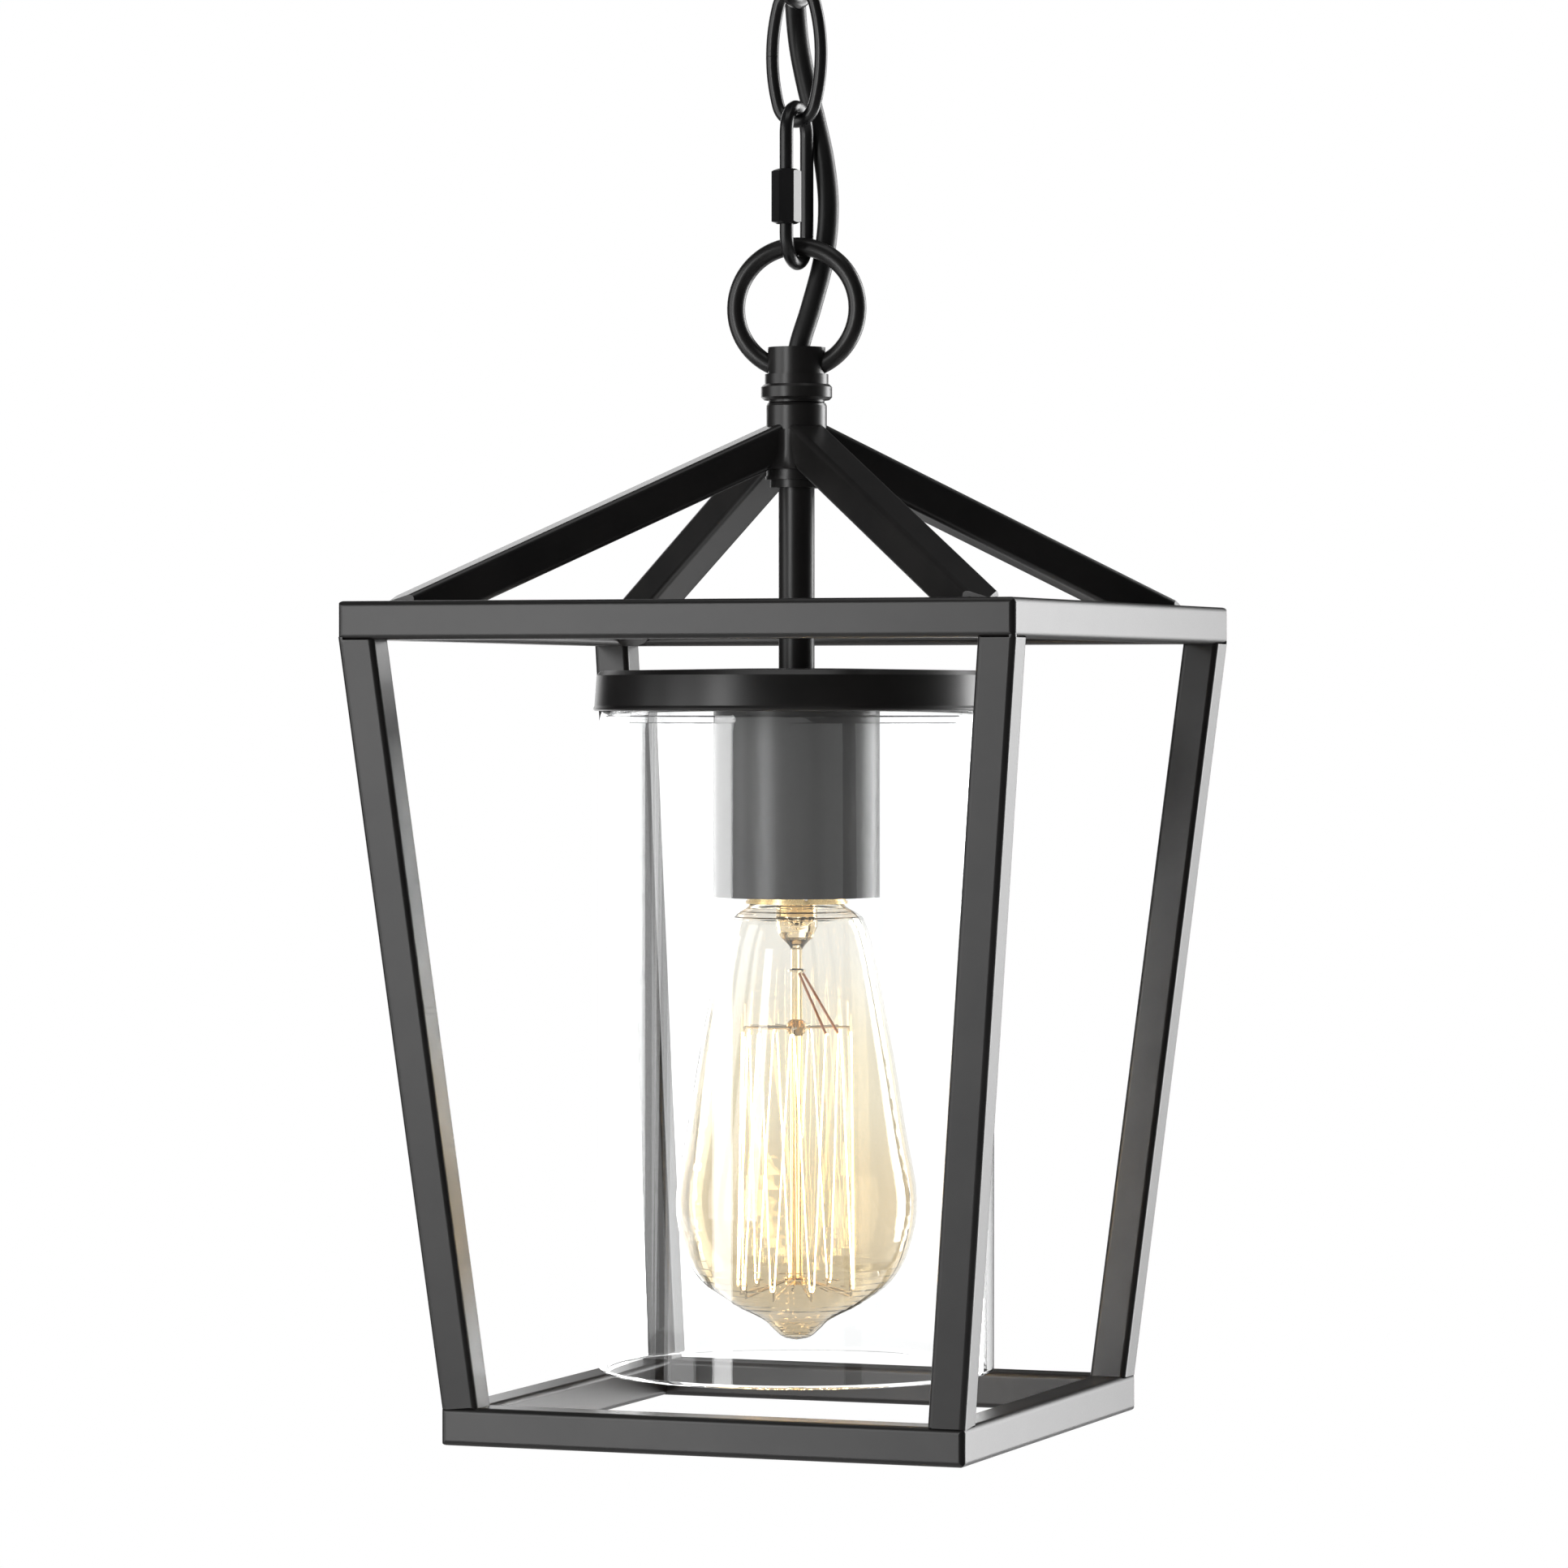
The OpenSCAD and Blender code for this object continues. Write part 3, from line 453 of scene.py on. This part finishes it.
# %% Finishes
finishes = {
    "black_coat": material("black_powder_coat", (0.008, 0.0075, 0.0075), (0.014, 0.013, 0.0125), (0.3, 0.38)),
    "black_wire": material(
        "black_wire_paint", (0.006, 0.006, 0.0065), (0.012, 0.0115, 0.012), (0.26, 0.34), bump=0.000015),
    "zinc_steel": material("zinc_plate", (0.5, 0.5, 0.52), (0.62, 0.62, 0.63), (0.28, 0.4), Metallic=1.0),
    "brass": material("brass", (0.5, 0.37, 0.17), (0.6, 0.46, 0.24), (0.2, 0.34), Metallic=1.0),
    "green_metal": material("green_paint", (0.02, 0.16, 0.05), (0.03, 0.22, 0.07), (0.35, 0.45)),
    "cable_jacket": material(
        "black_jacket", (0.006, 0.006, 0.006), (0.012, 0.012, 0.012), (0.38, 0.5), fine=1800, bump=0.00003),
    "lead_jacket": material("white_jacket", (0.7, 0.68, 0.63), (0.8, 0.78, 0.74), (0.4, 0.5)),
    "black_rubber": material("gasket_rubber", (0.01, 0.01, 0.01), (0.02, 0.02, 0.02), (0.6, 0.75)),
    "ivory_plastic": material("moulded_ivory", (0.6, 0.57, 0.49), (0.68, 0.65, 0.57), (0.3, 0.4)),
    "black_insulator": material("moulded_black", (0.008, 0.008, 0.009), (0.015, 0.015, 0.016), (0.2, 0.3)),
    "solder": material("solder", (0.6, 0.6, 0.59), (0.75, 0.75, 0.73), (0.25, 0.4), Metallic=1.0),
    "support_wire": material("hook_wire", (0.35, 0.33, 0.3), (0.5, 0.47, 0.43), (0.3, 0.4), Metallic=1.0),
    "lead_wire": material("copper_wire", (0.3, 0.13, 0.07), (0.4, 0.2, 0.12), (0.3, 0.4), Metallic=1.0),
    "filament_wire": material("glowing_wire", (1, 0.8, 0.45), (1, 0.85, 0.5), (0.4, 0.5)),
    "clear_glass": lets_light_through(material(
        "clear_glass", (0.985, 0.99, 0.99), (0.99, 0.995, 0.995), (0.0, 0.01), Transmission_Weight=1.0, IOR=1.46)),
    "amber_glass": lets_light_through(material(
        "amber_glass", (0.93, 0.8, 0.52), (0.95, 0.83, 0.56), (0.0, 0.01), Transmission_Weight=1.0, IOR=1.46)),
    "bulb_inner_glass": lets_light_through(material(
        "inner_glass", (0.9, 0.74, 0.5), (0.94, 0.8, 0.58), (0.02, 0.06), Transmission_Weight=1.0, IOR=1.46)),
}
# %% [markdown]
# The bulb's glass is tinted most at its foot and clears towards its neck, and its wire glows.

# %% The bulb's tint and glow
tint_down(finishes["amber_glass"], bulb_low, high("bulb_glass")[2], [
    (0.0, (0.7, 0.62, 0.47)), (0.28, (0.85, 0.77, 0.62)), (0.55, (0.91, 0.86, 0.74)), (0.85, (0.92, 0.905, 0.86))])
glow = finishes["filament_wire"].node_tree.nodes["Principled BSDF"]
glow.inputs["Emission Color"].default_value = (1, 0.7, 0.38, 1)
glow.inputs["Emission Strength"].default_value = 16
print("glow", glow.inputs["Emission Strength"].default_value)

# %% Finishes on the pieces
slot_of = {s["node"]: s["material_slot"] for s in frame["record"]["subparts"]}
for name, node in nodes.items():
    node.data.materials.clear()
    node.data.materials.append(finishes[slot_of[name]])
for piece in cables:
    piece.data.materials.append(finishes["cable_jacket"])
for number in (1, 2, 3):
    bpy.data.objects[f"oval_{number}"].data.materials.append(finishes["black_wire"])
filament.data.materials.append(finishes["filament_wire"])
for weld in welds:
    weld.data.materials.append(finishes["black_coat"])
print("finishes", len(finishes))

# %% [markdown]
# ## Light
# One tall soft box stands behind on each side, so that round black parts show a bright edge and stay dark
# in the middle. Two more stand in front on the left, for the cage's left faces, and one hangs above. The
# room is white to the eye but dim to the gloss, which keeps black paint black.

# %% Soft boxes
def soft_box(name, azimuth, elevation, reach, size, power):
    """Area light at that azimuth and elevation in degrees and that reach in metres from the cage's middle, facing
    it. size is width and height in metres, and power is in watts."""
    data = bpy.data.lights.new(name, "AREA")
    data.shape = "RECTANGLE"
    data.size, data.size_y = size
    data.energy = power
    obj = bpy.data.objects.new(name, data)
    bpy.context.scene.collection.objects.link(obj)
    a, e = math.radians(azimuth), math.radians(elevation)
    away = np.array([math.sin(a) * math.cos(e), -math.cos(a) * math.cos(e), math.sin(e)])
    obj.location = np.array([0, 0, (cage_top + cage_low) / 2]) + reach * away
    obj.rotation_euler = (math.pi / 2 - e, 0, a)
    obj.visible_camera = False
    return obj


boxes = [
    soft_box("left_box", -143, 6, 1.5, (0.6, 1.8), 7),
    soft_box("wide_left_box", -56, 6, 1.8, (1.0, 1.8), 13),
    soft_box("front_left_box", -23, 4, 2.2, (0.45, 1.6), 17),
    soft_box("right_box", 145, 6, 1.5, (0.7, 1.8), 34),
    soft_box("top_box", 20, 80, 1.6, (1.2, 1.2), 6)]
print("soft boxes", len(boxes))

# %% [markdown]
# The filament is too thin to light the lantern well by itself, so a small warm lamp that can't be seen
# helps it.

# %% Lamp inside the bulb
bulb_lamp = bpy.data.lights.new("bulb_lamp", "POINT")
bulb_lamp.energy = 0.12
bulb_lamp.color = (1, 0.55, 0.22)
bulb_lamp.shadow_soft_size = 0.012
lamp = bpy.data.objects.new("bulb_lamp", bulb_lamp)
bpy.context.scene.collection.objects.link(lamp)
lamp.location = (0, 0, (wire_low + wire_high) / 2)
lamp.visible_camera = lamp.visible_glossy = lamp.visible_transmission = False
print("lamp", bulb_lamp.energy, "W")

# %% [markdown]
# A ray that has gone through glass has lost a little at each face, so the white room makes that up for such
# a ray and clear glass stays as white as the air beside it.

# %% Room
glass_loss = 0.13


def room_white(tree, shader):
    """White with strength 1 for the eye, and glass_loss more for a ray that came through glass."""
    path = tree.nodes.new("ShaderNodeLightPath")
    more = tree.nodes.new("ShaderNodeMath")
    more.operation = "MULTIPLY_ADD"
    more.inputs[1].default_value, more.inputs[2].default_value = glass_loss, 1.0
    tree.links.new(path.outputs["Is Transmission Ray"], more.inputs[0])
    tree.links.new(more.outputs[0], shader.inputs["Strength"])
    shader.inputs["Color"].default_value = (1, 1, 1, 1)
    return shader


def seen_directly(tree):
    """1 for a ray from the camera or through glass, 0 for light and gloss."""
    path = tree.nodes.new("ShaderNodeLightPath")
    both = tree.nodes.new("ShaderNodeMath")
    both.operation = "MAXIMUM"
    tree.links.new(path.outputs["Is Camera Ray"], both.inputs[0])
    tree.links.new(path.outputs["Is Transmission Ray"], both.inputs[1])
    return both.outputs[0]


world = bpy.data.worlds.new("room")
world.use_nodes = True
bpy.context.scene.world = world
tree = world.node_tree
plain = tree.nodes["Background"]
plain.inputs["Color"].default_value = (0.8, 0.8, 0.82, 1)
plain.inputs["Strength"].default_value = 0.07
bright = room_white(tree, tree.nodes.new("ShaderNodeBackground"))
mix = tree.nodes.new("ShaderNodeMixShader")
tree.links.new(seen_directly(tree), mix.inputs["Fac"])
tree.links.new(plain.outputs[0], mix.inputs[1])
tree.links.new(bright.outputs[0], mix.inputs[2])
tree.links.new(mix.outputs[0], tree.nodes["World Output"].inputs["Surface"])

floor_half = 6
floor_z = -0.95
floor_corners = [[x * floor_half, y * floor_half, floor_z] for x, y in ((-1, -1), (1, -1), (1, 1), (-1, 1))]
floor = add_mesh("floor", floor_corners, [[0, 1, 2, 3]], smooth=False)
floor_paint = bpy.data.materials.new("pale_floor")
floor_paint.use_nodes = True
tree = floor_paint.node_tree
white = room_white(tree, tree.nodes.new("ShaderNodeEmission"))
mix = tree.nodes.new("ShaderNodeMixShader")
tree.links.new(seen_directly(tree), mix.inputs["Fac"])
tree.links.new(tree.nodes["Principled BSDF"].outputs[0], mix.inputs[1])
tree.links.new(white.outputs[0], mix.inputs[2])
tree.links.new(mix.outputs[0], tree.nodes["Material Output"].inputs["Surface"])
floor.data.materials.append(floor_paint)
bpy.context.scene.view_settings.view_transform = "Standard"
print("floor at", floor_z)
